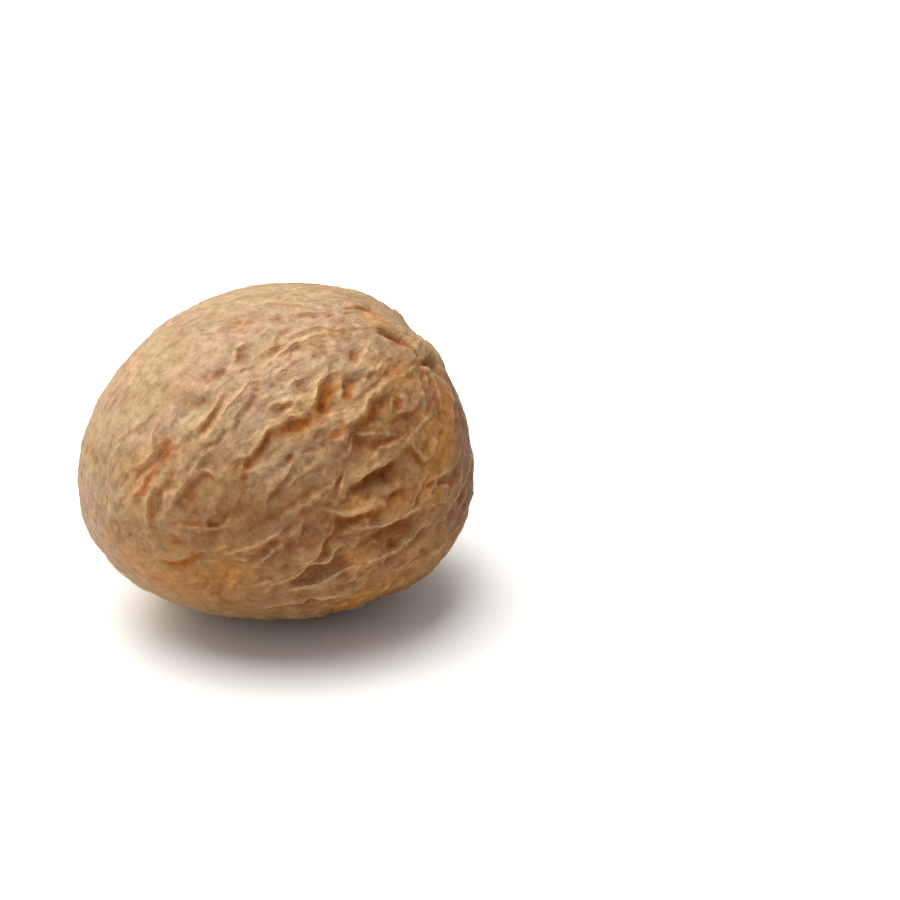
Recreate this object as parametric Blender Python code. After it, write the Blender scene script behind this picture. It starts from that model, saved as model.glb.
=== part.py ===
"""Whole nutmeg: one dried seed lying on its side, as one closed solid.

Run with: blender --background --python part.py

Units are metres. +Z is up and the floor is z = 0. The seed is longest along X. Its own axis runs
from the hilum, the pale scar it grew from, up to the chalaza, the puckered far end, and rises
from the floor at SEED_TILT. A place on the skin is given by two angles: "along", 0 at the hilum
and 180 at the chalaza, and "around", 0 at the front, 90 on the upper side and -90 beneath.
"""

import math

import bmesh
import bpy
import numpy as np
from mathutils import Vector, noise

# Body, in millimetres: half lengths of the plain egg shape before its swells and folds.
HALF_LENGTH = 12.3
HALF_WIDTH = 10.5
HALF_HEIGHT = 9.95

# Angle between the seed's own axis and the floor, in degrees.
SEED_TILT = 32.0

# Depth in millimetres of the small flat spot that the seed rests on.
REST_DEPTH = 0.42

# Swells and hollows of the body: along, around, angular radius (degrees), height (millimetres).
SWELLS = (
    (168, 129, 20, 0.50),
    (178, 0, 14, -0.70),
    (160, -50, 16, -0.40),
    (142, -50, 16, -0.40),
    (117, -51, 24, 0.55),
    (99, -51, 17, 0.45),
    (40, -51, 26, -0.35),
    (18, 130, 14, 0.30),
    (63, 129, 24, -0.40),
    (125, 129, 24, 0.20),
    (75, -140, 28, 0.25),
    (120, -150, 24, -0.30),
)

# The main folds of the skin. Each is a ridge through a few (along, around) places, with a hollow
# on its right as it runs, seen from outside: ridge height, hollow depth (millimetres), places.
FOLDS = (
    (0.22, 0.25, ((44, 71), (50, 70), (56, 68), (61, 67), (68, 73))),
    (0.30, 0.20, ((44, 55), (50, 57), (65, 57), (80, 57), (91, 59), (100, 57))),
    (0.38, 0.42, ((47, 45), (54, 48), (62, 49), (71, 50))),
    (0.36, 0.40, ((73, 44), (79, 42), (88, 40), (93, 44), (99, 42), (105, 43), (112, 45))),
    (0.30, 0.45, ((103, 29), (113, 30), (124, 31), (131, 29))),
    (0.28, 0.20, ((98, 57), (108, 60), (120, 64), (134, 60), (146, 52))),
    (0.34, 0.45, ((66, 2), (73, 2), (78, 6), (83, 9), (87, 10), (92, 7), (100, 3))),
    (0.30, 0.35, ((88, 2), (95, -1), (101, -5), (108, -8), (116, -13))),
    (0.34, 0.40, ((101, 15), (105, 12), (110, 11), (116, 11), (120, 13))),
    (0.28, 0.25, ((62, -4), (71, -5), (81, -9), (90, -14), (98, -20), (108, -21))),
    (0.28, 0.32, ((52, 22), (58, 22), (65, 20), (71, 20))),
    (0.26, 0.25, ((112, 98), (104, 86), (94, 80), (86, 76))),
    (0.30, 0.35, ((56, 120), (66, 112), (80, 108), (96, 114), (110, 108))),
    (0.32, 0.40, ((48, 160), (62, 152), (78, 150), (92, 156), (108, 150), (122, 140))),
    (0.30, 0.35, ((74, 176), (88, 180), (100, 172), (116, 176), (132, 168))),
    (0.34, 0.40, ((50, 206), (64, 200), (76, 204), (90, 212), (104, 206))),
    (0.30, 0.35, ((92, 232), (104, 226), (118, 230), (130, 222), (142, 226))),
    (0.32, 0.38, ((52, 246), (66, 240), (80, 244), (94, 252), (108, 262))),
    (0.28, 0.32, ((60, 276), (74, 272), (88, 280), (102, 288), (116, 292))),
)

# The hilum scar: its place, radius in degrees, and how far it is sunk in millimetres.
HILUM_ALONG = 12.0
HILUM_AROUND = 217.0
HILUM_RADIUS = 9.0
HILUM_DEPTH = 0.35

# The pit at the chalaza, ringed by a low lip, with one small knob beside it.
PIT_ALONG = 166.0
PIT_AROUND = 22.0
PIT_RADIUS = 8.0
PIT_DEPTH = 0.85
KNOB_ALONG = 170.0
KNOB_AROUND = -22.0
KNOB_RADIUS = 7.0
KNOB_HEIGHT = 0.55

# Shared widths of the folds, and the gentle unevenness between them, in millimetres.
RIDGE_WIDTH = 0.8
HOLLOW_REACH = 1.15
UNEVEN_SIZE = 4.2
UNEVEN_HEIGHT = 0.22

# Squares along each edge of the cube that the skin's mesh is blown up from.
MESH_STEPS = 28
STATION_STEPS = 12

MILLIMETRE = 0.001
NAME = "nutmeg"


def seed_frame():
    """The seed's own axes: towards the hilum, the front and the upper side."""
    tilt = math.radians(SEED_TILT)
    to_hilum = np.array((-math.cos(tilt), 0.0, -math.sin(tilt)))
    front = np.array((0.0, -1.0, 0.0))
    upper = np.array((-math.sin(tilt), 0.0, math.cos(tilt)))
    return to_hilum, front, upper


def direction(along, around):
    """Unit vector from the seed's middle to a place on its skin."""
    to_hilum, front, upper = seed_frame()
    polar = math.radians(along)
    turn = math.radians(around)
    sideways = math.cos(turn) * front + math.sin(turn) * upper
    return math.cos(polar) * to_hilum + math.sin(polar) * sideways


def angle_from(rays, place):
    """Angle in degrees between each ray and one place."""
    return np.degrees(np.arccos(np.clip(rays @ place, -1.0, 1.0)))


def bump(rays, along, around, radius):
    """A round bump that is 1 at a place and fades out over the given angle."""
    return np.exp(-(angle_from(rays, direction(along, around)) / radius) ** 2)


def fold_path(places):
    """Smooth path of unit vectors through a fold's places (a Catmull-Rom curve)."""
    knots = [direction(*place) for place in places]
    knots = [2.0 * knots[0] - knots[1]] + knots + [2.0 * knots[-1] - knots[-2]]
    path = []
    for a, b, c, d in zip(knots, knots[1:], knots[2:], knots[3:]):
        for step in range(STATION_STEPS):
            t = step / STATION_STEPS
            ends = (2.0 * b) + (c - a) * t
            bend = (2.0 * a - 5.0 * b + 4.0 * c - d) * t ** 2
            turn = (3.0 * b - a - 3.0 * c + d) * t ** 3
            path.append(0.5 * (ends + bend + turn))
    path.append(knots[-2])
    path = np.array(path)
    return path / np.linalg.norm(path, axis=1)[:, None]


def fold_relief(rays, reach, height, depth, places):
    """Height in millimetres of one fold: a ridge with a hollow on its right."""
    path = fold_path(places)
    ahead = np.gradient(path, axis=0)
    right = np.cross(ahead, path)
    right /= np.linalg.norm(right, axis=1)[:, None]
    nearest = np.argmax(rays @ path.T, axis=1)
    offset = (rays - path[nearest]) * reach[:, None]
    distance = np.linalg.norm(offset, axis=1)
    side = np.einsum("ij,ij->i", offset, right[nearest])
    inward = np.clip(side / HOLLOW_REACH, 0.0, None)
    taper = np.sin(np.pi * np.clip(nearest / (len(path) - 1), 0.04, 0.96)) ** 0.6
    ridge = height * np.exp(-(distance / RIDGE_WIDTH) ** 2)
    hollow = depth * inward * np.exp(1.0 - inward) * np.exp(-((distance - side) / HOLLOW_REACH) ** 2)
    return taper * (ridge - hollow)


def skin_radius(rays):
    """Distance in millimetres from the seed's middle to its skin along each ray."""
    halves = np.array((HALF_LENGTH, HALF_WIDTH, HALF_HEIGHT))
    egg = 1.0 / np.linalg.norm(rays / halves, axis=1)
    radius = egg.copy()
    for along, around, spread, height in SWELLS:
        radius += height * bump(rays, along, around, spread)
    for height, depth, places in FOLDS:
        radius += fold_relief(rays, egg, height, depth, places)
    radius -= HILUM_DEPTH * bump(rays, HILUM_ALONG, HILUM_AROUND, HILUM_RADIUS)
    radius -= PIT_DEPTH * bump(rays, PIT_ALONG, PIT_AROUND, PIT_RADIUS)
    radius += KNOB_HEIGHT * bump(rays, KNOB_ALONG, KNOB_AROUND, KNOB_RADIUS)
    spots = (rays * egg[:, None]) / UNEVEN_SIZE
    radius += UNEVEN_HEIGHT * np.array([noise.noise(Vector(spot)) for spot in spots])
    return radius


def round_cube():
    """A cube cut into even squares, ready to be blown up into the seed."""
    mesh = bmesh.new()
    bmesh.ops.create_cube(mesh, size=2.0)
    bmesh.ops.subdivide_edges(mesh, edges=mesh.edges[:], cuts=MESH_STEPS - 1, use_grid_fill=True)
    return mesh


def cube_rays(mesh):
    """Unit vectors through the cube's points, bent so that the squares stay even in size."""
    corners = np.array([point.co[:] for point in mesh.verts])
    bent = np.tan(corners * math.pi / 4.0)
    return bent / np.linalg.norm(bent, axis=1)[:, None]


def seed_points(rays):
    """Places of the skin in metres, standing on its flat spot with the box centred at X = Y = 0."""
    points = rays * skin_radius(rays)[:, None]
    floor = points[:, 2].min() + REST_DEPTH
    points[:, 2] = np.maximum(points[:, 2], floor)
    middle = (points.min(axis=0) + points.max(axis=0)) / 2.0
    points -= (middle[0], middle[1], floor)
    return points * MILLIMETRE


def nutshell_material():
    """Dull brown seed coat."""
    material = bpy.data.materials.new("dried_seed_coat")
    material.use_nodes = True
    shader = material.node_tree.nodes["Principled BSDF"]
    shader.inputs["Base Color"].default_value = (0.42, 0.24, 0.12, 1.0)
    shader.inputs["Roughness"].default_value = 0.6
    shader.inputs["Metallic"].default_value = 0.0
    return material


def build_nutmeg(collection):
    """The seed as one object, with its place in its mesh."""
    shape = round_cube()
    for point, place in zip(shape.verts, seed_points(cube_rays(shape))):
        point.co = place
    bmesh.ops.recalc_face_normals(shape, faces=shape.faces[:])
    data = bpy.data.meshes.new(NAME)
    shape.to_mesh(data)
    shape.free()
    data.shade_smooth()
    data.materials.append(nutshell_material())
    seed = bpy.data.objects.new(NAME, data)
    collection.objects.link(seed)
    return seed


def main():
    for item in list(bpy.data.objects):
        bpy.data.objects.remove(item, do_unlink=True)
    collection = bpy.data.collections.new("whole_nutmeg")
    bpy.context.scene.collection.children.link(collection)
    build_nutmeg(collection)


main()
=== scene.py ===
"""Whole nutmeg, dressed: the wrinkled seed in its dry seed coat, on a pale studio floor.

The seed stands for the solid "nutmeg" and fills the same space. A place on its skin is given by
two angles in degrees: "along", 0 at the hilum (the pale scar) and 180 at the chalaza (the
puckered end), and "around", 0 at the front, 90 on the upper side and -90 beneath.
Lengths in the relief are in millimetres, and everything else is in metres.
"""

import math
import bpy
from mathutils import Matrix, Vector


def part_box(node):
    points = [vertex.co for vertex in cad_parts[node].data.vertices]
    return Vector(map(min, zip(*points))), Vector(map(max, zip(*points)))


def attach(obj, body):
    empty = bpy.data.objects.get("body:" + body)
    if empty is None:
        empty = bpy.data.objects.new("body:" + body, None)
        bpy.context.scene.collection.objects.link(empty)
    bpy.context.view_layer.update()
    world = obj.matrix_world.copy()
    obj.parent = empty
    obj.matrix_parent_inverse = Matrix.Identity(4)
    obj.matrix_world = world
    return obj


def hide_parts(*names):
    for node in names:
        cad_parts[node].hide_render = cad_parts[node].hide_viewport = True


bl_info = {
    "name": "Whole nutmeg",
    "version": (1, 0, 0),
    "blender": (4, 5, 0),
    "location": "3D View > Sidebar > Nutmeg",
    "description": "Models a wrinkled dried nutmeg, its seed coat and a soft studio around it",
    "category": "Object",
}

import bmesh
import bpy
import numpy as np
from mathutils import Matrix, Vector, noise

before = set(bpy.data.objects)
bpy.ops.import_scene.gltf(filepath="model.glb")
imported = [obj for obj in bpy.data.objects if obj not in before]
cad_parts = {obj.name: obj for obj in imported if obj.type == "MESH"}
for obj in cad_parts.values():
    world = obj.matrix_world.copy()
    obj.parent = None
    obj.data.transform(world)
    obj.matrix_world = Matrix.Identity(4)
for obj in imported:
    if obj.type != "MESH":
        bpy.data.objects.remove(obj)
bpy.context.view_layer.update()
SEED_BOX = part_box("nutmeg")

MILLIMETRE = 0.001
PIECE = "nutmeg_seed"

# ---------------------------------------------------------------- the body, as the solid has it

# Half axes of the plain egg, as shares of the solid's half sides.
EGG_SHARES = (1.0047, 0.9857, 1.0195)
SEED_TILT = 32.0
REST_DEPTH = 0.42

# Swells and hollows of the body: along, around, angular radius (degrees), height (millimetres).
SWELLS = (
    (168, 129, 20, 0.50),
    (178, 0, 14, -0.70),
    (160, 78, 13, -0.30),
    (160, -50, 16, -0.40),
    (142, -50, 16, -0.40),
    (117, -51, 24, 0.55),
    (99, -51, 17, 0.45),
    (40, -51, 26, -0.35),
    (18, 130, 14, 0.30),
    (63, 129, 24, -0.40),
    (125, 129, 24, 0.20),
    (75, -140, 28, 0.25),
    (120, -150, 24, -0.30),
)

# ---------------------------------------------------------------- the folds of the seed coat

# Each fold is a lip through a few (along, around) places, with a hollow on its right as it
# runs, seen from outside: height of the lip, depth of the hollow, how far the brown stain under
# the lip reaches (millimetres), width (a share of the usual width), places.
SHOWN_FOLDS = (
    # the lip on the smooth end, over an ochre hollow
    (0.15, 0.24, 0.35, 0.9,
     ((45, 71), (50, 69.5), (54.5, 66), (58, 65.5), (60.5, 67), (63.5, 69.5), (68, 71))),
    # the fold that bounds the long valley, and the two long ridges above it
    (0.16, 0.24, 0.5, 0.9, ((38, 47.5), (41, 50), (44, 53.5), (47, 56), (50, 56), (54, 56), (57, 57))),
    (0.20, 0.16, 0.2, 1.2,
     ((65, 56.5), (75, 56), (80, 56.5), (85, 57.5), (88.5, 58), (92, 59), (95, 59), (99, 57))),
    (0.16, 0.22, 0.5, 0.6, ((68, 60.5), (72, 60), (75, 60), (79, 60.5), (83, 61.5), (87, 62.5))),
    # the sharp fold beside the valley, with a hooked upper end
    (0.26, 0.30, 0.4, 1.0,
     ((47.5, 47.5), (51, 48), (54, 48.2), (58, 48.5), (62, 49.5), (65, 50.2), (71, 51))),
    (0.12, 0.24, 0.4, 0.6, ((62, 48.5), (65, 47.3), (66.5, 45), (66.8, 42.5))),
    # the fold that climbs through the middle in two steps
    (0.24, 0.30, 0.7, 0.9,
     ((72.5, 43.5), (76, 43.3), (79.5, 41.8), (83.5, 42.5), (87.5, 44), (90.5, 43), (94, 42.5))),
    (0.22, 0.30, 1.1, 1.0, ((90, 43.2), (94, 42.5), (97, 42), (99.5, 41.3), (102, 40))),
    (0.26, 0.32, 1.4, 1.3,
     ((102, 40.5), (103.5, 41.5), (106, 42.5), (109, 44), (112, 45.5), (115, 46), (121.5, 45))),
    (0.10, 0.22, 0.8, 0.6, ((113, 37), (116, 38), (118, 40), (118, 42))),
    # the straight lip over the stained slope, and the pale ridge behind it
    (0.30, 0.46, 1.1, 1.6,
     ((103, 26), (106.5, 27.5), (110, 28.3), (114, 28), (118, 28.8), (122, 29.5), (131, 27.5))),
    (0.16, 0.12, 0.2, 0.8, ((123, 35.5), (129, 36), (132, 35.5), (135, 36), (139, 36))),
    # the sweeping ridge under the crown, and the crease above it
    (0.19, 0.14, 0.3, 1.2,
     ((100, 60.5), (105, 61.5), (108, 63), (112, 64), (117, 64.5), (122, 63.5), (137, 60))),
    (0.10, 0.18, 0.4, 0.9,
     ((113, 71), (120, 68.5), (127, 67.5), (134, 63), (140, 61), (146, 59), (152, 57))),
    (0.12, 0.14, 0.3, 0.7, ((102, 66), (106, 66.5), (109, 67), (113, 67.5))),
    (0.09, 0.20, 0.5, 0.7, ((122, 79), (127, 79), (132, 77), (137, 74))),
    # the ragged lip in the middle of the front, over a rusty hollow
    (0.26, 0.40, 1.1, 1.2,
     ((86, 11), (88.5, 7.8), (91.5, 5.8), (94, 4.8), (97, 3), (100, 1.2), (103, 0))),
    (0.16, 0.26, 0.7, 0.9, ((66, -0.5), (70, -0.5), (74, 1), (77, 3), (80, 4.8), (83, 5.3), (86, 8))),
    # the long ridge below it, the hollow under its end, and the lip of that hollow
    (0.20, 0.22, 0.3, 1.0,
     ((86, 0.5), (90, -0.5), (94, -3.5), (98, -7), (101.5, -9.5), (105, -11.5), (118, -17))),
    (0.06, 0.26, 0.5, 0.5, ((100, -10.5), (102.5, -12), (106, -13.5), (109, -14.5))),
    (0.20, 0.14, 0.3, 0.9,
     ((84, -13), (90, -16), (94, -19.5), (97, -20.5), (100, -20.5), (104, -21), (108, -21))),
    (0.18, 0.20, 0.3, 0.8, ((58, -2), (65, -3), (70, -3.5), (75, -4), (79, -3.5), (83, -2.5))),
    (0.18, 0.20, 0.3, 0.9, ((87, -13), (80, -12), (75, -10.5), (70, -11), (65, -9), (58, -8))),
    (0.17, 0.20, 0.3, 0.9, ((50, -14), (60, -18), (70, -23), (80, -29))),
    # the hooked lip on the right, and the crack that runs down beyond its end
    (0.28, 0.46, 0.7, 0.9,
     ((97, 13.5), (101.5, 12.7), (104, 12), (107, 10.5), (109, 9), (111.5, 8.5), (115.5, 8))),
    (0.05, 0.32, 0.5, 0.5, ((118, 8.5), (121, 6), (122, 3), (122, -1), (121.5, -3.5), (119.5, -6))),
    (0.06, 0.20, 0.6, 0.5, ((102.5, 2.5), (104, 1.5), (107, -0.5), (110, -2))),
    # short folds between them
    (0.18, 0.28, 0.3, 0.9, ((53, 19.5), (58, 18.3), (62, 17.5), (66, 17.3), (70, 17), (74, 17.5))),
    (0.12, 0.12, 0.1, 0.7, ((59, 10.5), (62, 10.7), (65, 11), (69, 11.5))),
    (0.16, 0.24, 0.3, 0.8, ((72, 25.5), (76.5, 29), (80, 29.8), (83.5, 30.3), (88, 31.5))),
    (0.12, 0.20, 0.4, 0.6, ((88, 17), (91, 17.5), (93, 18), (95, 18.5), (98, 18))),
    (0.14, 0.18, 0.4, 0.7, ((92.5, 50), (95.5, 49.3), (98, 48), (100.5, 46.5), (102, 45))),
    (0.12, 0.18, 0.3, 0.7, ((102, 51), (105, 51), (108, 50.5), (112, 49.5))),
    (0.11, 0.12, 0.1, 0.8, ((100, 56), (104, 57), (108, 57.5), (113, 56.5))),
    (0.14, 0.16, 0.3, 0.8, ((140, 49.5), (136, 47), (133, 45), (130.5, 43), (126, 41))),
    (0.08, 0.26, 0.5, 0.8, ((51, 29.5), (53, 32), (55, 34), (57.5, 36))),
    (0.05, 0.18, 0.6, 0.8, ((35, 35), (37, 31), (40, 29), (43, 29), (47, 30))),
    (0.16, 0.14, 0.2, 0.7, ((135, 6), (137.5, 8), (140, 10), (143, 14))),
    (0.10, 0.22, 0.7, 0.5, ((126, 19), (128, 21.5), (130.5, 23))),
    (0.10, 0.20, 0.5, 0.5, ((103, 88), (107, 87), (110, 86))),
    (0.10, 0.22, 0.7, 0.5, ((102, 82), (106, 83), (110, 85))),
    (0.12, 0.18, 0.5, 0.7, ((94, 69), (96, 72), (99, 74.5), (103, 74))),
    # the crease around the knob at the puckered end
    (0.10, 0.55, 0.8, 1.0,
     ((158, 0), (153, 9), (152, 14), (151.5, 20.5), (153, 28), (154, 34), (151, 44), (147, 49))),
)

# Hollows between the folds, one by one: along, around, half width and depth in
# millimetres, how much longer it is along the seed than across, stain.
SHOWN_HOLLOWS = (
    (76.5, 65.5, 0.55, 0.36, 1.5, 0.1),
    (81, 64.5, 0.45, 0.30, 1.3, 0.1),
    (85, 70, 0.45, 0.26, 1.4, 0.1),
    (89, 69, 0.45, 0.32, 1.6, 0.1),
    (98, 71, 0.60, 0.20, 1.5, 0.2),
    (118.5, 78, 0.45, 0.20, 0.8, 0.3),
    (60, 62, 0.55, 0.10, 1.4, 0.4),
    (57, 45, 0.35, 0.12, 1.5, 0.7),
    (53, 44, 0.30, 0.12, 1.2, 0.6),
    (44, 37, 0.40, 0.12, 1.6, 0.8),
    (99, -14.5, 0.95, 0.26, 1.7, 0.7),
    (96, -18, 0.40, 0.12, 1.5, 0.9),
    (72, -7, 0.60, 0.14, 1.6, 0.1),
    (104, 54.5, 0.55, 0.12, 1.2, 0.1),
    (106, 48, 0.50, 0.12, 1.6, 0.5),
    (121, 59.5, 0.45, 0.10, 1.5, 0.6),
    (130, 46.5, 0.55, 0.12, 1.0, 0.7),
    (143.5, 44.5, 0.40, 0.14, 1.0, 0.3),
    (152, 46, 0.60, 0.35, 1.0, 1.0),
    (155, 40, 0.50, 0.40, 1.0, 1.0),
    (156, 34, 0.40, 0.35, 1.0, 0.8),
    (153, 25, 0.40, 0.35, 1.0, 0.8),
    (150, 17, 0.40, 0.35, 1.0, 0.8),
    (107, 37.5, 0.26, 0.16, 1.0, 0.6),
    (78, 15, 0.22, 0.16, 1.8, 0.5),
    (87, 12.5, 0.26, 0.18, 1.2, 0.5),
    (87, 33, 0.26, 0.18, 1.6, 0.5),
    (103.5, 9.5, 0.30, 0.16, 2.0, 1.0),
    (110.5, 7, 0.28, 0.14, 1.6, 0.9),
    (92, 28, 0.35, 0.10, 1.0, 0.2),
    (67, 14, 0.40, 0.14, 1.5, 0.7),
    (77, 27, 0.35, 0.10, 1.5, 0.6),
    (55, 79, 0.30, 0.12, 1.5, 0.4),
    (60, 83, 0.25, 0.10, 1.8, 0.3),
)

# Patches of ochre: along, around, angular radius, strength.
OCHRE = (
    (61, 62, 4, 0.55),
    (52, 64, 5, 0.35),
    (46, 60, 7, 0.3),
    (107, 39, 4, 0.8),
    (113, 42, 4, 0.5),
    (96, 40, 5, 0.6),
    (115, 24, 6, 0.5),
    (93, 4, 6, 0.8),
    (118, -13, 6, 1.0),
    (106, -7, 6, 0.6),
    (146, -10, 7, 1.0),
    (131, -8, 8, 0.9),
    (154, 66, 7, 0.6),
    (84, -12, 6, 0.7),
    (76, -38, 10, 0.7),
    (97, -32, 12, 0.4),
    (48, 12, 8, 0.6),
    (30, 18, 12, 0.5),
    (25, 50, 10, 0.3),
    (79, 74, 5, 0.2),
    (46, 102, 6, 0.2),
    (71, 103, 5, 0.2),
    (133, 32, 6, 0.5),
    (140, 22, 5, 0.5),
)

# Width of the back and of the front of a lip, of its rubbed edge, where its hollow starts, how far
# the hollow reaches, and how far the lip hangs over: millimetres at width 1.
LIP_BACK = 1.0
LIP_FRONT = 0.25
LIP_EDGE = 0.22
HOLLOW_START = 0.28
HOLLOW_REACH = 0.95
OVERHANG = 0.04
PATH_STEPS = 12

# Folds strewn at random, size by size: how many, length in degrees, height and depth of the lip
# and the hollow at full width (millimetres), least and greatest width, stretch of "around".
BIG_FOLDS = (46, (18.0, 46.0), 0.20, 0.26, (0.75, 1.2), (142.0, 306.0))
MIDDLE_FOLDS = (120, (8.0, 20.0), 0.15, 0.22, (0.42, 0.75), (0.0, 360.0))
SMALL_FOLDS = (420, (3.0, 9.0), 0.15, 0.24, (0.24, 0.42), (0.0, 360.0))
FOLD_SEED = 20

# Seed of the wandering, which otherwise starts from the clock and differs at every run.
WANDER_SEED = 3

# Sets of flakes: how many round the seed, size of their straying in millimetres, height, stain.
FLAKES = (
    (30, 2.6, 0.11, 0.45),
    (74, 1.3, 0.055, 0.25),
)

# Small pits where the coat has shrunk: how many, half width in millimetres, depth.
PITS = 700
PIT_SIZES = (0.12, 0.32)
PIT_DEPTH = 0.12

# Patches that have browned more than the rest: along, around, angular radius, strength.
BROWNED = (
    (112, -20, 32, 1.00),
    (84, -10, 32, 0.80),
    (55, 6, 32, 0.70),
    (117, 19, 6, 0.90),
    (102, 36, 5, 0.50),
    (35, 5, 20, 0.45),
    (58, 34, 16, 0.40),
    (118, 16, 14, 0.50),
    (145, -30, 26, 0.70),
    (150, 20, 10, 0.30),
    (60, 200, 30, 0.55),
    (110, 240, 34, 0.60),
    (90, 300, 30, 0.70),
    (130, 180, 22, 0.35),
)

# Patches painted dark brown: along, around, angular radius, strength. The first three, on the
# lower side towards the chalaza, are partly painted shadow, as if cast by a second seed lying
# beside this one, and partly the coat's own dark brown; the small ones darken listed places,
# most of them in hollows.
DARK_PATCHES_AND_SHADOW = (
    (130, -42, 14, 0.50),
    (148, -34, 14, 0.60),
    (118, -36, 10, 0.25),
    (101, -15, 4, 0.40),
    (106, 9, 3, 0.50),
    (111, 6, 3, 0.50),
    (106, 25, 3, 0.45),
    (118, 19, 5, 0.25),
    (99, 39, 3, 0.30),
    (127, 14, 4, 0.35),
    (95, -26, 5, 0.20),
    (75, 5, 7, 0.20),
    (56, 32, 5, 0.30),
    (70, 18, 6, 0.20),
    (154, 44, 4, 0.40),
    (118, 77, 3, 0.30),
    (60, 62, 3, 0.25),
    (98, 71, 3, 0.30),
    (103, 86, 3, 0.30),
    (83, 64, 5, 0.15),
)

# The hilum scar with its disc and ring, and the pit and the knob at the chalaza.
HILUM = (12.0, 217.0)
HILUM_DISC = 3.3
HILUM_RING = 1.15
CHALAZA_PIT = (159.0, 6.0, 4.5, 0.9)
CHALAZA_KNOB = (167.0, 16.0, 8.0, 0.45)
CHALAZA_RIM = (170.0, -24.0, 7.0, 0.40)

# Squares along each edge of the cube that the skin is blown up from.
FIRST_CUTS = 15
SECOND_CUTS = 7


def from_hex(code):
    """Linear RGB from an sRGB hex value such as "C89A6B"."""
    parts = [int(code[place:place + 2], 16) / 255.0 for place in (0, 2, 4)]
    return [part / 12.92 if part <= 0.04045 else ((part + 0.055) / 1.055) ** 2.4 for part in parts]


# ---------------------------------------------------------------- settings


class NutmegSeedSettings(bpy.types.PropertyGroup):
    """Sizes and colours of the seed."""

    fold_strength: bpy.props.FloatProperty(
        name="Fold strength",
        description="Height of the folds, as a share of their usual height",
        default=1.0,
        min=0.0,
        max=2.0,
        subtype="FACTOR",
    )
    crease_height: bpy.props.FloatProperty(
        name="Crease height",
        description="Height of the creases that wander between the folds",
        default=0.10 * MILLIMETRE,
        unit="LENGTH",
        precision=5,
    )
    coat: bpy.props.FloatVectorProperty(
        name="Coat",
        description="Dry tan seed coat",
        subtype="COLOR",
        default=from_hex("A88F68"),
    )
    bloom: bpy.props.FloatVectorProperty(
        name="Bloom",
        description="Greyish pink where the coat is worn",
        subtype="COLOR",
        default=from_hex("AA896C"),
    )
    olive: bpy.props.FloatVectorProperty(
        name="Olive",
        description="Dull olive tan in the flats of the folds",
        subtype="COLOR",
        default=from_hex("8C7048"),
    )
    browned: bpy.props.FloatVectorProperty(
        name="Browned",
        description="Warm brown of the darker patches",
        subtype="COLOR",
        default=from_hex("8E663B"),
    )
    ochre: bpy.props.FloatVectorProperty(
        name="Ochre",
        description="Yellow brown of the brightest patches",
        subtype="COLOR",
        default=from_hex("B4762E"),
    )
    # Pale fold tops, partly the coat's own paler ridges and partly painted highlight.
    rim: bpy.props.FloatVectorProperty(
        name="Rim",
        description="Pale rubbed tops of the folds",
        subtype="COLOR",
        default=from_hex("C89E6E"),
    )
    stain: bpy.props.FloatVectorProperty(
        name="Stain",
        description="Orange brown under the lips",
        subtype="COLOR",
        default=from_hex("98521A"),
    )
    # Dark specks of the coat, and painted shade in the hollows, under each lip and on dark patches.
    crevice: bpy.props.FloatVectorProperty(
        name="Crevice",
        description="Dark brown in the deepest hollows",
        subtype="COLOR",
        default=from_hex("64310F"),
    )
    scar: bpy.props.FloatVectorProperty(
        name="Scar",
        description="Cream disc around the hilum",
        subtype="COLOR",
        default=from_hex("D8BC94"),
    )


class NutmegStageSettings(bpy.types.PropertyGroup):
    """Floor, light and camera."""

    floor: bpy.props.FloatVectorProperty(
        name="Floor",
        description="Plain pale floor",
        subtype="COLOR",
        default=from_hex("F0EFEC"),
    )
    sky_strength: bpy.props.FloatProperty(
        name="Sky",
        description="Strength of the even light from all round",
        default=0.40,
        min=0.0,
    )
    key_power: bpy.props.FloatProperty(
        name="Key light",
        description="Power of the large soft light behind the seed, on the left",
        default=2.45,
        unit="POWER",
    )
    key_turn: bpy.props.FloatProperty(
        name="Key light turn",
        description="How far left of straight behind the seed the key light hangs",
        default=math.radians(68.0),
        unit="ROTATION",
    )
    key_rise: bpy.props.FloatProperty(
        name="Key light rise",
        description="Height of the key light, as an angle from the seed",
        default=math.radians(75.0),
        unit="ROTATION",
    )
    key_distance: bpy.props.FloatProperty(
        name="Key light distance",
        description="From the key light to the seed",
        default=0.36,
        unit="LENGTH",
    )
    key_size: bpy.props.FloatProperty(
        name="Key light size",
        description="Side of the square key light",
        default=0.38,
        unit="LENGTH",
    )
    view_azimuth: bpy.props.FloatProperty(
        name="View azimuth",
        description="Turn of the camera about the seed",
        default=math.radians(-28.0),
        unit="ROTATION",
    )
    view_elevation: bpy.props.FloatProperty(
        name="View elevation",
        description="Height of the camera, as an angle from the seed",
        default=math.radians(27.0),
        unit="ROTATION",
    )
    view_distance: bpy.props.FloatProperty(
        name="View distance",
        description="From the camera to the seed",
        default=0.2259,
        unit="LENGTH",
    )
    view_across: bpy.props.FloatProperty(
        name="View across",
        description="How far right of the seed the camera aims",
        default=0.0103,
        unit="LENGTH",
    )
    view_above: bpy.props.FloatProperty(
        name="View above",
        description="How far above the seed's middle the camera aims",
        default=0.00024,
        unit="LENGTH",
        precision=5,
    )
    lens: bpy.props.FloatProperty(
        name="Lens",
        description="Focal length of the camera",
        default=150.0,
        unit="CAMERA",
    )


# ---------------------------------------------------------------- places on the skin


def seed_frame():
    """The seed's own axes as rows: towards the hilum, the front and the upper side."""
    tilt = math.radians(SEED_TILT)
    to_hilum = (-math.cos(tilt), 0.0, -math.sin(tilt))
    front = (0.0, -1.0, 0.0)
    upper = (-math.sin(tilt), 0.0, math.cos(tilt))
    return np.array((to_hilum, front, upper))


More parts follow.
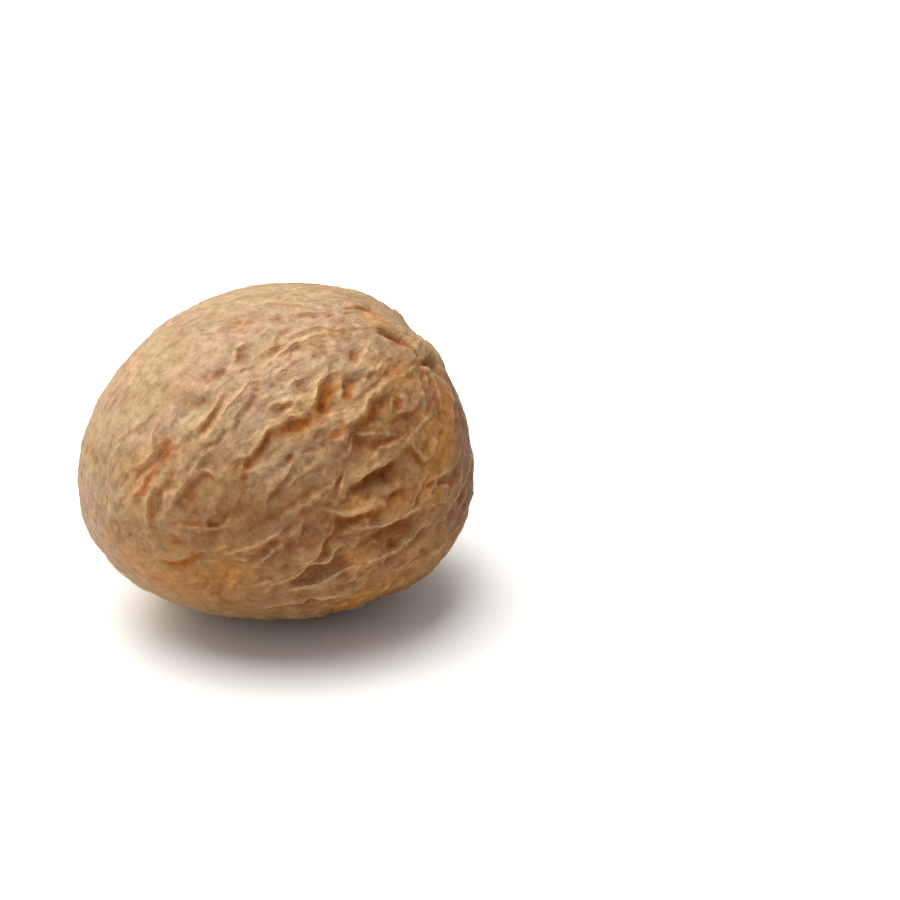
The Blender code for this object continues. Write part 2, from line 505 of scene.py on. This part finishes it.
def direction(along, around):
    """Unit vector from the seed's middle to a place on its skin."""
    to_hilum, front, upper = seed_frame()
    polar = math.radians(along)
    turn = math.radians(around)
    sideways = math.cos(turn) * front + math.sin(turn) * upper
    return math.cos(polar) * to_hilum + math.sin(polar) * sideways


def angle_from(rays, place):
    """Angle in degrees between each ray and one place."""
    return np.degrees(np.arccos(np.clip(rays @ place, -1.0, 1.0)))


def bump(rays, along, around, radius):
    """A round bump that is 1 at a place and fades out over the given angle."""
    return np.exp(-(angle_from(rays, direction(along, around)) / radius) ** 2)


def smooth_step(value, low, high):
    """0 below low, 1 above high, with a smooth climb between."""
    t = np.clip((value - low) / (high - low), 0.0, 1.0)
    return t * t * (3.0 - 2.0 * t)


def unit(vectors):
    """The same vectors, each made one long."""
    return vectors / np.linalg.norm(vectors, axis=1)[:, None]


def round_cube_rays(mesh):
    """Unit vectors through the points of a cut cube, bent so that its squares stay even."""
    corners = np.array([point.co[:] for point in mesh.verts])
    return unit(np.tan(corners * math.pi / 4.0))


def noise_at(points, size):
    """Smooth noise, about -1 to 1, at each point; size is the width of its blobs."""
    return np.array([noise.noise(Vector(spot)) for spot in points / size])


def wander(points, size, amount):
    """Points pushed about by smooth noise, so that what is drawn with them wanders."""
    moves = np.array([noise.noise_vector(Vector(spot)) for spot in points / size])
    return points + amount * moves


# ---------------------------------------------------------------- folds


def fold_path(places):
    """Smooth path of unit vectors through a fold's places (a Catmull-Rom curve)."""
    knots = [direction(*place) for place in places]
    knots = [2.0 * knots[0] - knots[1]] + knots + [2.0 * knots[-1] - knots[-2]]
    path = []
    for a, b, c, d in zip(knots, knots[1:], knots[2:], knots[3:]):
        for step in range(PATH_STEPS):
            t = step / PATH_STEPS
            ends = 2.0 * b + (c - a) * t
            bend = (2.0 * a - 5.0 * b + 4.0 * c - d) * t ** 2
            turn = (3.0 * b - a - 3.0 * c + d) * t ** 3
            path.append(0.5 * (ends + bend + turn))
    path.append(knots[-2])
    return unit(np.array(path))


def strewn_folds(draw, count, lengths, height, depth, widths, arounds):
    """Folds of one size strewn over the seed at random: they run along it and wander."""
    folds = []
    for _ in range(count):
        along = math.degrees(math.acos(draw.uniform(math.cos(math.radians(158)), math.cos(math.radians(24)))))
        around = draw.uniform(*arounds)
        length = draw.uniform(*lengths)
        knots = 3 + int(length > 12.0) + int(length > 24.0)
        heading = draw.normal(0.0, 0.45)
        places = []
        for _ in range(knots):
            places.append((along, around))
            step = length / (knots - 1)
            heading = 0.7 * heading + draw.normal(0.0, 0.28)
            along = min(along + step * math.cos(heading), 170.0)
            around += step * math.sin(heading) / max(0.3, math.sin(math.radians(along)))
        if draw.random() < 0.28:
            places.reverse()
        width = draw.uniform(*widths)
        lip = height * width * draw.uniform(0.6, 1.3)
        hollow = depth * width * draw.uniform(0.5, 1.4)
        folds.append((lip, hollow, width * draw.random() ** 1.6, width, places))
    return folds


class Skin:
    """What the folds add to the skin: height and sideways push (millimetres), and colour shares."""

    def __init__(self, rays, reach):
        self.rays = rays
        self.reach = reach
        self.height = np.zeros(len(rays))
        self.push = np.zeros((len(rays), 3))
        self.stain = np.zeros(len(rays))
        self.rim = np.zeros(len(rays))
        self.scar = np.zeros(len(rays))
        self.side = np.ones(len(rays))
        self.lift = np.zeros(len(rays))

    def add_fold(self, height, depth, stain, width, places):
        """One fold: a lip that is steep on its right, where it drops into a hollow."""
        path = fold_path(places)
        right = unit(np.cross(np.gradient(path, axis=0), path))
        middle = path.mean(axis=0)
        middle /= np.linalg.norm(middle)
        margin = 14.0 * width + 2.0
        cone = math.cos(math.radians(min(90.0, angle_from(path, middle).max() + margin)))
        near = np.nonzero(self.rays @ middle > cone)[0]
        rays = self.rays[near]
        nearest = np.argmax(rays @ path.T, axis=1)
        offset = (rays - path[nearest]) * self.reach[near][:, None]
        side = np.einsum("ij,ij->i", offset, right[nearest])
        last = len(path) - 1
        beyond = np.einsum("ij,ij->i", offset, offset) - side ** 2
        beyond = np.where((nearest == 0) | (nearest == last), beyond, 0.0)
        taper = np.sin(np.pi * np.clip(nearest / last, 0.02, 0.98)) ** 0.6
        taper = taper * np.exp(-beyond / (0.4 * width) ** 2)
        edge = taper * np.exp(-(side / (LIP_EDGE * width)) ** 2)
        back = np.exp(np.clip(side, None, 0.0) / (LIP_BACK * width))
        front = np.exp(-(np.clip(side, 0.0, None) / (LIP_FRONT * width)) ** 2)
        lip = taper * (0.65 * back * front + 0.2 * edge)
        drop = np.clip(side, 0.0, None) / width
        hollow = 1.0 - np.exp(-(drop / HOLLOW_START) ** 2)
        hollow = taper * hollow * np.exp(-(drop / HOLLOW_REACH) ** 1.4)
        self.height[near] += height * lip - depth * hollow
        self.push[near] += (OVERHANG * height / 0.2 * edge)[:, None] * right[nearest]
        wet = smooth_step(side, 0.0, 0.1) * (1.0 - smooth_step(side, 0.5 * stain, stain + 0.1))
        stained = min(1.0, 1.6 * stain) * taper ** 0.5 * wet
        self.stain[near] = np.maximum(self.stain[near], stained)
        self.rim[near] = np.maximum(self.rim[near], min(1.0, height / 0.2) * edge)

        # The signed distance from the nearest lip, for the painted highlight and painted shadow lines
        # along it and its crisp bumped edge, all finer than the mesh.
        lift = taper * min(1.0, height / 0.18) * (1.0 - smooth_step(np.abs(side), 0.35, 0.55))
        closer = (np.abs(side) < np.abs(self.side[near])) & (taper > 0.05)
        self.side[near] = np.where(closer, side, self.side[near])
        self.lift[near] = np.where(closer, lift, self.lift[near])

    def add_hollow(self, along, around, size, depth, stretch, stain):
        """One hollow or pit, longer along the seed than across it."""
        centre = direction(along, around)
        near = np.nonzero(self.rays @ centre > math.cos(math.radians(12.0 * size * stretch + 4.0)))[0]
        offset = (self.rays[near] - centre) * self.reach[near][:, None]
        lengthways = direction(along + 0.5, around) - direction(along - 0.5, around)
        lengthways /= np.linalg.norm(lengthways)
        run = offset @ lengthways
        across = np.einsum("ij,ij->i", offset, offset) - run ** 2
        hollow = np.exp(-(across + (run / stretch) ** 2) / size ** 2)
        self.height[near] -= depth * hollow
        self.stain[near] = np.maximum(self.stain[near], stain * hollow)


def add_folds(skin):
    """Every fold and hollow of the coat, listed one by one where it shows most, strewn elsewhere."""
    draw = np.random.default_rng(FOLD_SEED)
    folds = list(SHOWN_FOLDS)
    for sizes in (BIG_FOLDS, MIDDLE_FOLDS, SMALL_FOLDS):
        folds += strewn_folds(draw, *sizes)
    for fold in folds:
        skin.add_fold(*fold)
    for hollow in SHOWN_HOLLOWS:
        skin.add_hollow(*hollow)
    for _ in range(PITS):
        along = math.degrees(math.acos(draw.uniform(-0.92, 0.92)))
        around = draw.uniform(0.0, 360.0)
        size = draw.uniform(*PIT_SIZES)
        depth = PIT_DEPTH * draw.uniform(0.4, 1.0) * size / PIT_SIZES[1]
        skin.add_hollow(along, around, size, depth, draw.uniform(1.2, 3.0), 0.35)


# ---------------------------------------------------------------- the whole skin


def roughness_of(rays, along):
    """How wrinkled each place is: little at the hilum end and over the crown, most in the middle."""
    rough = 0.45 + 0.55 * smooth_step(along, 20.0, 52.0)
    rough = rough * (1.0 - 0.55 * bump(rays, 138, 96, 36))
    rough = rough * (1.0 - 0.36 * bump(rays, 72, 96, 40))
    rough = rough * (1.0 + 0.70 * bump(rays, 100, -2, 38))
    rough = rough * (1.0 + 0.35 * bump(rays, 95, 215, 55))
    return rough * (1.0 + 0.45 * bump(rays, 60, -35, 40))


def flakes(turn, count, strays, drop):
    """Ridges like overlapping flakes, count of them round the seed, that stray from straight: the
    height from 0 to 1, rising away from the upper side and then dropping sharply, and the share
    of the skin that lies close under a drop."""
    phase = strays - turn / (2.0 * math.pi) * count
    t = phase - np.floor(phase)
    height = np.where(t < 1.0 - drop, t / (1.0 - drop), (1.0 - t) / drop)
    return height, np.exp(-t / 0.16)


def ridges(spots, size):
    """Sharp ridges that wander and branch: 1 along a ridge, 0 away from it."""
    return (1.0 - np.clip(np.abs(noise_at(spots, size)) / 0.4, 0.0, 1.0)) ** 2


def blurred(values, links, rounds):
    """Values averaged with those of the neighbouring points, again and again."""
    first, second = links.T
    size = len(values)
    count = np.bincount(links.ravel(), minlength=size)
    for _ in range(rounds):
        total = np.bincount(first, values[second], size) + np.bincount(second, values[first], size)
        values = 0.5 * (values + total / count)
    return values


def dress_skin(rays, reach, links, settings):
    """The folds, creases, pits and fine lines over the body, with the shares that colours follow."""
    noise.seed_set(WANDER_SEED)
    flat = rays * reach[:, None]
    own = flat @ seed_frame().T
    along = np.degrees(np.arccos(np.clip(rays @ seed_frame()[0], -1.0, 1.0)))
    rough = roughness_of(rays, along)

    # Folds, drawn on a skin that wanders, so that none runs like a ruled line.
    ragged = wander(wander(flat, 1.2, 0.24), 0.45, 0.10)
    skin = Skin(unit(ragged), reach)
    add_folds(skin)
    skin.height = blurred(skin.height, links, 3)
    skin.height *= settings.fold_strength * (1.0 + 0.3 * noise_at(flat, 1.6)) * (0.15 + 0.75 * rough)
    skin.lift *= 0.15 + 0.75 * rough

    # Creases drawn out along the seed, deeper in some patches than in others.
    drawn_out = wander(own * (0.5, 1.0, 1.0), 2.1, 0.7)
    patchy = smooth_step(noise_at(flat, 3.1), -0.45, 0.55)
    tall = settings.crease_height / MILLIMETRE * rough * (0.3 + 0.7 * patchy)
    skin.height += tall * (ridges(drawn_out, 1.7) - 0.7 * ridges(drawn_out + 31.0, 2.0))
    skin.height += 0.5 * tall * ridges(wander(own, 0.9, 0.3) * (0.7, 1.0, 1.0), 0.8)

    # Flakes that overlap towards the lower side, wide ones and narrow ones, in patches.
    turn = np.arctan2(own[:, 2], own[:, 1])
    for count, size, height, lift in FLAKES:
        strays = 1.5 * noise_at(own * (0.5, 1.0, 1.0) + count, size) + 0.5 * noise_at(flat, 0.35 * size)
        shown = smooth_step(noise_at(flat - count, 1.4 * size), -0.15, 0.45) * rough
        flake, under = flakes(turn, count, strays, 0.14)
        skin.height += height * shown * (flake - 0.5)
        skin.stain = np.maximum(skin.stain, lift * shown * under)

    # The stain keeps to the hollows, with no haze around them and least of it on the upper side.
    kept = 1.0 - 0.8 * bump(rays, 92, 96, 44)
    skin.stain = kept * np.clip(1.2 * skin.stain - 0.15, 0.0, 1.0)

    # Crumpled skin between them.
    skin.height += 0.075 * noise_at(own * (0.6, 1.0, 1.0), 1.3) * rough
    skin.height += 0.06 * noise_at(own * (0.6, 1.0, 1.0), 0.6) * rough
    skin.height += 0.024 * noise_at(flat, 0.36) * rough

    # Lines that run along the seed, as wide as a coarse hair.
    turn = turn + 0.02 * noise_at(flat, 2.2)
    lines = np.stack((np.cos(turn) * 22.0, np.sin(turn) * 22.0, np.radians(along) * 4.0), axis=1)
    skin.height += 0.034 * noise_at(lines, 1.0)
    return skin


def add_ends(skin, rays):
    """The hilum's disc and ring at one end, the pit, its rim and the knob at the other."""
    flat = rays * skin.reach[:, None]
    distance = np.radians(angle_from(rays, direction(*HILUM))) * skin.reach
    distance = distance * (1.0 + 0.16 * noise_at(flat, 0.7))
    ring = np.exp(-((distance - HILUM_RING) / 0.26) ** 2)
    inside = np.exp(-(distance / (0.8 * HILUM_RING)) ** 2)
    disc = 1.0 - smooth_step(distance, 0.8 * HILUM_DISC, 1.1 * HILUM_DISC)
    skin.height += 0.16 * disc - 0.22 * ring + 0.05 * inside - 0.35 * bump(rays, *HILUM, 9.0)
    skin.scar = disc
    along, around, radius, depth = CHALAZA_PIT
    pit = bump(rays, along, around, radius)
    skin.height -= depth * pit
    skin.stain = np.maximum(skin.stain, smooth_step(pit, 0.35, 0.9))
    for along, around, radius, height in (CHALAZA_KNOB, CHALAZA_RIM):
        skin.height += height * bump(rays, along, around, radius)


def seed_skin(rays, links, settings):
    """Points of the seed in metres, and the skin with its colour shares."""
    low, high = SEED_BOX
    halves = np.array(high - low) / 2.0 * EGG_SHARES / MILLIMETRE
    reach = 1.0 / np.linalg.norm(rays / halves, axis=1)
    skin = dress_skin(rays, reach, links, settings)
    add_ends(skin, rays)
    fine = blurred(skin.height, links, 14)
    broad = blurred(fine, links, 90)
    # Raised places join the rim share: paler there, partly painted highlight.
    skin.rim = np.maximum(skin.rim, 0.6 * smooth_step(skin.height - fine, 0.02, 0.07))
    skin.rim = np.maximum(skin.rim, 0.5 * smooth_step(fine - broad, 0.03, 0.14))
    # Hollow share, below the surroundings: painted warm brown, and dark brown as painted shade.
    skin.hollow = smooth_step(broad - fine, 0.02, 0.18)
    skin.hollow = np.maximum(skin.hollow, 0.8 * smooth_step(fine - skin.height, 0.015, 0.07))
    skin.brown = sum(strength * bump(rays, *place) for *place, strength in BROWNED)
    skin.ochre = sum(strength * bump(rays, *place) for *place, strength in OCHRE)
    # Dark patches, the wide ones on the lower side partly painted shadow.
    skin.dark = sum(strength * bump(rays, *place) for *place, strength in DARK_PATCHES_AND_SHADOW)

    skin.height -= 0.7 * blurred(broad, links, 300)

    radius = reach + skin.height
    for along, around, spread, height in SWELLS:
        radius += height * bump(rays, along, around, spread)
    points = rays * radius[:, None] + skin.push
    floor = points[:, 2].min() + REST_DEPTH
    points[:, 2] = np.maximum(points[:, 2], floor)
    middle = (points.min(axis=0) + points.max(axis=0)) / 2.0
    centre = (np.array(low) + np.array(high)) / 2.0
    points -= (middle[0], middle[1], floor)
    return points * MILLIMETRE + (centre[0], centre[1], low[2]), skin


# ---------------------------------------------------------------- the seed coat


def add_node(tree, kind, settings=None, links=None):
    """A node with its settings (properties or sockets) and the sockets that feed it."""
    node = tree.nodes.new(kind)
    for key, value in (settings or {}).items():
        if isinstance(key, str) and hasattr(node, key):
            setattr(node, key, value)
        else:
            node.inputs[key].default_value = value
    for key, source in (links or {}).items():
        tree.links.new(source, node.inputs[key])
    return node


def seed_coat_material(settings):
    """Dried nutmeg seed coat: a thin woody skin that shrank as it dried. Satin where it has been
    rubbed, dull in its hollows, tan with a grey bloom, and orange brown where it is stained."""
    material = bpy.data.materials.new("dried_nutmeg_seed_coat")
    material.use_nodes = True
    tree = material.node_tree
    shader = tree.nodes["Principled BSDF"]
    place = add_node(tree, "ShaderNodeTexCoord").outputs["Object"]

    # Noise for each layer: width of its blobs in millimetres, detail and roughness.
    clouds = {}
    for name, width, detail, rough in (
        ("bloom", 3.2, 4.0, 0.62),
        ("olive", 2.1, 4.0, 0.60),
        ("brown", 2.6, 5.0, 0.65),
        ("stain", 1.0, 4.0, 0.62),
        ("flecks", 1.6, 4.0, 0.60),
        ("depth", 0.8, 4.0, 0.62),
        ("rim", 0.9, 3.0, 0.60),
        ("mottle", 0.6, 5.0, 0.70),
        ("specks", 0.55, 3.0, 0.55),
        ("leather", 0.26, 4.0, 0.65),
    ):
        values = {"Scale": 1.0 / (width * MILLIMETRE), "Detail": detail, "Roughness": rough}
        clouds[name] = add_node(tree, "ShaderNodeTexNoise", values, {"Vector": place}).outputs["Fac"]
    grain = add_node(tree, "ShaderNodeAttribute", {"attribute_name": "grain"})
    links = {"Vector": grain.outputs["Vector"]}
    values = {"Scale": 1.0, "Detail": 3.0, "Roughness": 0.6}
    clouds["grain"] = add_node(tree, "ShaderNodeTexNoise", values, links).outputs["Fac"]

    # Shares of the skin that the colours follow. Two of them are lines along each lip, a painted
    # highlight on its edge and a painted shadow under it: where each starts, is full, wanes and
    # ends, in millimetres across the lip.
    shares = {}
    for name in ("stain", "rim", "hollow", "scar", "brown", "ochre", "dark", "side", "lift"):
        shares[name] = add_node(tree, "ShaderNodeAttribute", {"attribute_name": name}).outputs["Fac"]
    for name, start, full, wane, end in (
        ("edge", -0.26, -0.05, 0.02, 0.11),
        ("under", 0.04, 0.14, 0.20, 0.44),
    ):
        values = {"interpolation_type": "SMOOTHSTEP", 1: start, 2: full}
        rise = add_node(tree, "ShaderNodeMapRange", values, {0: shares["side"]}).outputs[0]
        values = {"interpolation_type": "SMOOTHSTEP", 1: wane, 2: end, 3: 1.0, 4: 0.0}
        fall = add_node(tree, "ShaderNodeMapRange", values, {0: shares["side"]}).outputs[0]
        values = {"operation": "MULTIPLY"}
        band = add_node(tree, "ShaderNodeMath", values, {0: rise, 1: fall}).outputs[0]
        shares[name] = add_node(tree, "ShaderNodeMath", values, {0: band, 1: shares["lift"]}).outputs[0]

    # Tan with a grey-pink bloom in patches, then layer by layer: its colour, the share of the skin
    # that it follows, its noise, and how much of it shows from the noise's low to its high.
    patch = add_node(tree, "ShaderNodeMapRange", {1: 0.40, 2: 0.60}, {0: clouds["bloom"]})
    tan = {"data_type": "RGBA", 6: (*settings.coat, 1.0), 7: (*settings.bloom, 1.0)}
    colour = add_node(tree, "ShaderNodeMix", tan, {0: patch.outputs[0]}).outputs[2]
    for tone, follows, cloud, low, high, least, most in (
        (settings.olive, None, "olive", 0.50, 0.66, 0.0, 0.45),
        (settings.browned, "brown", "brown", 0.30, 0.60, 0.70, 1.40),
        (settings.browned, None, "brown", 0.52, 0.68, 0.0, 0.65),
        (settings.ochre, "ochre", "flecks", 0.30, 0.60, 0.60, 1.30),
        (settings.stain, "stain", "stain", 0.34, 0.58, 0.50, 1.20),
        (settings.stain, "brown", "flecks", 0.54, 0.70, 0.0, 0.30),
        (settings.stain, "hollow", "flecks", 0.30, 0.65, 0.15, 0.80),
        # Painted shade: dark brown deepening the hollows, over the shade their shape already casts.
        (settings.crevice, "hollow", "depth", 0.35, 0.65, 0.0, 0.60),
        (settings.crevice, None, "grain", 0.60, 0.72, 0.0, 0.45),
        (settings.crevice, None, "specks", 0.58, 0.72, 0.0, 0.35),
        (settings.crevice, "brown", "flecks", 0.50, 0.68, 0.0, 0.40),
        # Dark patches in dark brown, the wide ones on the lower side partly painted shadow.
        (settings.crevice, "dark", "brown", 0.30, 0.60, 0.50, 1.20),
        # Painted shadow: a dark line just under each lip.
        (settings.crevice, "under", "rim", 0.30, 0.60, 0.10, 0.60),
        # Pale fold tops, partly painted highlight.
        (settings.rim, "rim", "rim", 0.30, 0.60, 0.20, 0.65),
        # Painted highlight: a pale line along each lip's edge.
        (settings.rim, "edge", "specks", 0.36, 0.58, 0.0, 0.65),
        (settings.scar, "scar", "depth", 0.30, 0.60, 0.50, 1.00),
    ):
        shown = add_node(tree, "ShaderNodeMapRange", {1: low, 2: high, 3: least, 4: most}, {0: clouds[cloud]})
        amount = shown.outputs[0]
        if follows:
            values = {"operation": "MULTIPLY", "use_clamp": True}
            links = {0: amount, 1: shares[follows]}
            amount = add_node(tree, "ShaderNodeMath", values, links).outputs[0]
        values = {"data_type": "RGBA", 7: (*tone, 1.0)}
        colour = add_node(tree, "ShaderNodeMix", values, {0: amount, 6: colour}).outputs[2]

    # Mottling all over, lighter and darker.
    mottle = add_node(tree, "ShaderNodeMapRange", {1: 0.3, 2: 0.7, 3: 0.66, 4: 1.28}, {0: clouds["mottle"]})
    values = {"data_type": "RGBA", "blend_type": "MULTIPLY", 0: 1.0}
    mottled = add_node(tree, "ShaderNodeMix", values, {6: colour, 7: mottle.outputs[0]})
    tree.links.new(mottled.outputs[2], shader.inputs["Base Color"])

    dull = add_node(tree, "ShaderNodeMapRange", {3: 0.66, 4: 0.52}, {0: shares["rim"]})
    tree.links.new(dull.outputs[0], shader.inputs["Roughness"])
    shader.inputs["IOR"].default_value = 1.48
    sheen = add_node(tree, "ShaderNodeMapRange", {3: 0.3, 4: 0.05}, {0: shares["stain"]})
    tree.links.new(sheen.outputs[0], shader.inputs["Specular IOR Level"])
    shader.inputs["Metallic"].default_value = 0.0

    # Fine relief below the mesh: fibres along the seed, 0.25 mm wide, a dry, leathery skin, and the
    # crisp edges of the lips.
    values = {"Strength": 0.7, "Distance": 0.08 * MILLIMETRE}
    fibres = add_node(tree, "ShaderNodeBump", values, {"Height": clouds["grain"]})
    values = {"Strength": 0.9, "Distance": 0.08 * MILLIMETRE}
    links = {"Height": clouds["leather"], "Normal": fibres.outputs["Normal"]}
    leather = add_node(tree, "ShaderNodeBump", values, links)
    values = {"Strength": 1.0, "Distance": 0.07 * MILLIMETRE}
    links = {"Height": shares["edge"], "Normal": leather.outputs["Normal"]}
    lips = add_node(tree, "ShaderNodeBump", values, links)
    tree.links.new(lips.outputs["Normal"], shader.inputs["Normal"])
    return material


def store_shares(mesh, skin):
    """The skin's colour shares, from 0 to 1, and the side of the nearest lip, for each point."""
    for name in ("stain", "rim", "hollow", "scar", "brown", "ochre", "dark", "side", "lift"):
        layer = mesh.attributes.new(name, "FLOAT", "POINT")
        layer.data.foreach_set("value", np.clip(getattr(skin, name), -1.0, 1.0).astype(np.float32))


def store_grain(mesh, rays):
    """Where each point is around and along the seed, in fibre widths, for what runs along it."""
    own = rays @ seed_frame().T
    turn = np.arctan2(own[:, 2], own[:, 1])
    along = np.arccos(np.clip(own[:, 0], -1.0, 1.0))
    grain = np.stack((np.cos(turn) * 30.0, np.sin(turn) * 30.0, along * 9.0), axis=1)
    layer = mesh.attributes.new("grain", "FLOAT_VECTOR", "POINT")
    layer.data.foreach_set("vector", grain.astype(np.float32).ravel())


class NUTMEG_OT_seed(bpy.types.Operator):
    """Model the wrinkled seed and give it its dry seed coat"""

    bl_idname = "nutmeg.seed"
    bl_label = "Seed"

    def execute(self, context):
        settings = context.scene.nutmeg_seed
        shape = bmesh.new()
        bmesh.ops.create_cube(shape, size=2.0)
        for cuts in (FIRST_CUTS, SECOND_CUTS):
            bmesh.ops.subdivide_edges(shape, edges=shape.edges[:], cuts=cuts, use_grid_fill=True)
        rays = round_cube_rays(shape)
        links = np.array([[end.index for end in edge.verts] for edge in shape.edges])
        points, skin = seed_skin(rays, links, settings)
        for vertex, point in zip(shape.verts, points):
            vertex.co = point
        bmesh.ops.recalc_face_normals(shape, faces=shape.faces[:])
        mesh = bpy.data.meshes.new(PIECE)
        shape.to_mesh(mesh)
        shape.free()
        mesh.shade_smooth()
        store_shares(mesh, skin)
        store_grain(mesh, rays)
        mesh.materials.append(seed_coat_material(settings))
        seed = bpy.data.objects.new(PIECE, mesh)
        context.scene.collection.objects.link(seed)
        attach(seed, "root")
        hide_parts("nutmeg")
        return {"FINISHED"}


# ---------------------------------------------------------------- the stage

FLOOR_RADIUS = 2.0

# How much the sky's strength swings from its mean, as a share of it.
SKY_SWING = 0.7
SKY_RISE = math.radians(40.0)


def paper_floor(scene, level, colour):
    """A wide round floor of matt white paper."""
    shape = bmesh.new()
    bmesh.ops.create_circle(shape, cap_ends=True, segments=96, radius=FLOOR_RADIUS)
    bmesh.ops.translate(shape, verts=shape.verts[:], vec=(0.0, 0.0, level))
    mesh = bpy.data.meshes.new("studio_floor")
    shape.to_mesh(mesh)
    shape.free()
    material = bpy.data.materials.new("matt_white_paper")
    material.use_nodes = True
    shader = material.node_tree.nodes["Principled BSDF"]
    shader.inputs["Base Color"].default_value = (*colour, 1.0)
    shader.inputs["Roughness"].default_value = 0.9
    mesh.materials.append(material)
    floor = bpy.data.objects.new("studio_floor", mesh)
    scene.collection.objects.link(floor)


def white_sky(scene, strength, towards):
    """White light from all round, stronger on the key light's side than on the other."""
    world = bpy.data.worlds.new("white_sky")
    world.use_nodes = True
    tree = world.node_tree
    sky = tree.nodes["Background"]
    sky.inputs["Color"].default_value = (1.0, 1.0, 1.0, 1.0)
    ray = add_node(tree, "ShaderNodeTexCoord").outputs["Generated"]
    facing = add_node(tree, "ShaderNodeVectorMath", {"operation": "DOT_PRODUCT", 1: towards}, {0: ray})
    values = {1: -1.0, 2: 1.0, 3: strength * (1.0 - SKY_SWING), 4: strength * (1.0 + SKY_SWING)}
    glow = add_node(tree, "ShaderNodeMapRange", values, {0: facing.outputs["Value"]})
    tree.links.new(glow.outputs[0], sky.inputs["Strength"])
    scene.world = world


def camera_axes(azimuth, elevation):
    """Axes of a camera that looks at the seed: right, up and back."""
    right = Vector((math.cos(azimuth), math.sin(azimuth), 0.0))
    level = Vector((math.sin(azimuth), -math.cos(azimuth), 0.0))
    back = level * math.cos(elevation) + Vector((0.0, 0.0, math.sin(elevation)))
    return right, back.cross(right), back


def left_behind(azimuth, turn, rise):
    """Direction from the seed to a place behind it: turned to the camera's left, and raised."""
    left = -Vector((math.cos(azimuth), math.sin(azimuth), 0.0))
    behind = Vector((-math.sin(azimuth), math.cos(azimuth), 0.0))
    level = behind * math.cos(turn) + left * math.sin(turn)
    return level * math.cos(rise) + Vector((0.0, 0.0, math.sin(rise)))


def key_light(scene, middle, towards, settings):
    """The large soft light over the seed, behind it and on the camera's left."""
    lamp = bpy.data.lights.new("key_softbox", "AREA")
    lamp.size = settings.key_size
    lamp.energy = settings.key_power
    light = bpy.data.objects.new("key_softbox", lamp)
    light.location = middle + towards * settings.key_distance
    light.rotation_euler = (-towards).to_track_quat("-Z", "Y").to_euler()
    scene.collection.objects.link(light)


def seed_camera(scene, middle, settings):
    """A long lens that looks a little down on the seed."""
    data = bpy.data.cameras.new("camera")
    data.lens = settings.lens
    camera = bpy.data.objects.new("camera", data)
    right, up, back = camera_axes(settings.view_azimuth, settings.view_elevation)
    aim = middle + right * settings.view_across + up * settings.view_above
    turn = Matrix((right, up, back)).transposed().to_4x4()
    camera.matrix_world = Matrix.Translation(aim + back * settings.view_distance) @ turn
    scene.collection.objects.link(camera)
    scene.camera = camera


class NUTMEG_OT_stage(bpy.types.Operator):
    """Lay the floor, hang the soft lights and set up the camera"""

    bl_idname = "nutmeg.stage"
    bl_label = "Stage"

    def execute(self, context):
        scene = context.scene
        settings = scene.nutmeg_stage
        low, high = SEED_BOX
        middle = (low + high) / 2.0
        paper_floor(scene, low.z, settings.floor)
        towards = left_behind(settings.view_azimuth, settings.key_turn, settings.key_rise)
        side = left_behind(settings.view_azimuth, settings.key_turn, SKY_RISE)
        white_sky(scene, settings.sky_strength, side)
        key_light(scene, middle, towards, settings)
        seed_camera(scene, middle, settings)
        scene.view_settings.view_transform = "Standard"
        return {"FINISHED"}


class NUTMEG_PT_panel(bpy.types.Panel):
    """Sizes, colours and the two steps of making the nutmeg"""

    bl_idname = "NUTMEG_PT_panel"
    bl_label = "Whole nutmeg"
    bl_space_type = "VIEW_3D"
    bl_region_type = "UI"
    bl_category = "Nutmeg"

    def draw(self, context):
        scene = context.scene
        for title, settings, operator in (
            ("Seed", scene.nutmeg_seed, NUTMEG_OT_seed),
            ("Stage", scene.nutmeg_stage, NUTMEG_OT_stage),
        ):
            box = self.layout.box()
            box.label(text=title)
            for name in settings.__annotations__:
                box.prop(settings, name)
            box.operator(operator.bl_idname)


CLASSES = (
    NutmegSeedSettings,
    NutmegStageSettings,
    NUTMEG_OT_seed,
    NUTMEG_OT_stage,
    NUTMEG_PT_panel,
)


def register():
    for item in CLASSES:
        bpy.utils.register_class(item)
    bpy.types.Scene.nutmeg_seed = bpy.props.PointerProperty(type=NutmegSeedSettings)
    bpy.types.Scene.nutmeg_stage = bpy.props.PointerProperty(type=NutmegStageSettings)


def unregister():
    del bpy.types.Scene.nutmeg_stage
    del bpy.types.Scene.nutmeg_seed
    for item in reversed(CLASSES):
        bpy.utils.unregister_class(item)


def main():
    register()
    bpy.ops.nutmeg.seed()
    bpy.ops.nutmeg.stage()


if __name__ == "__main__":
    main()
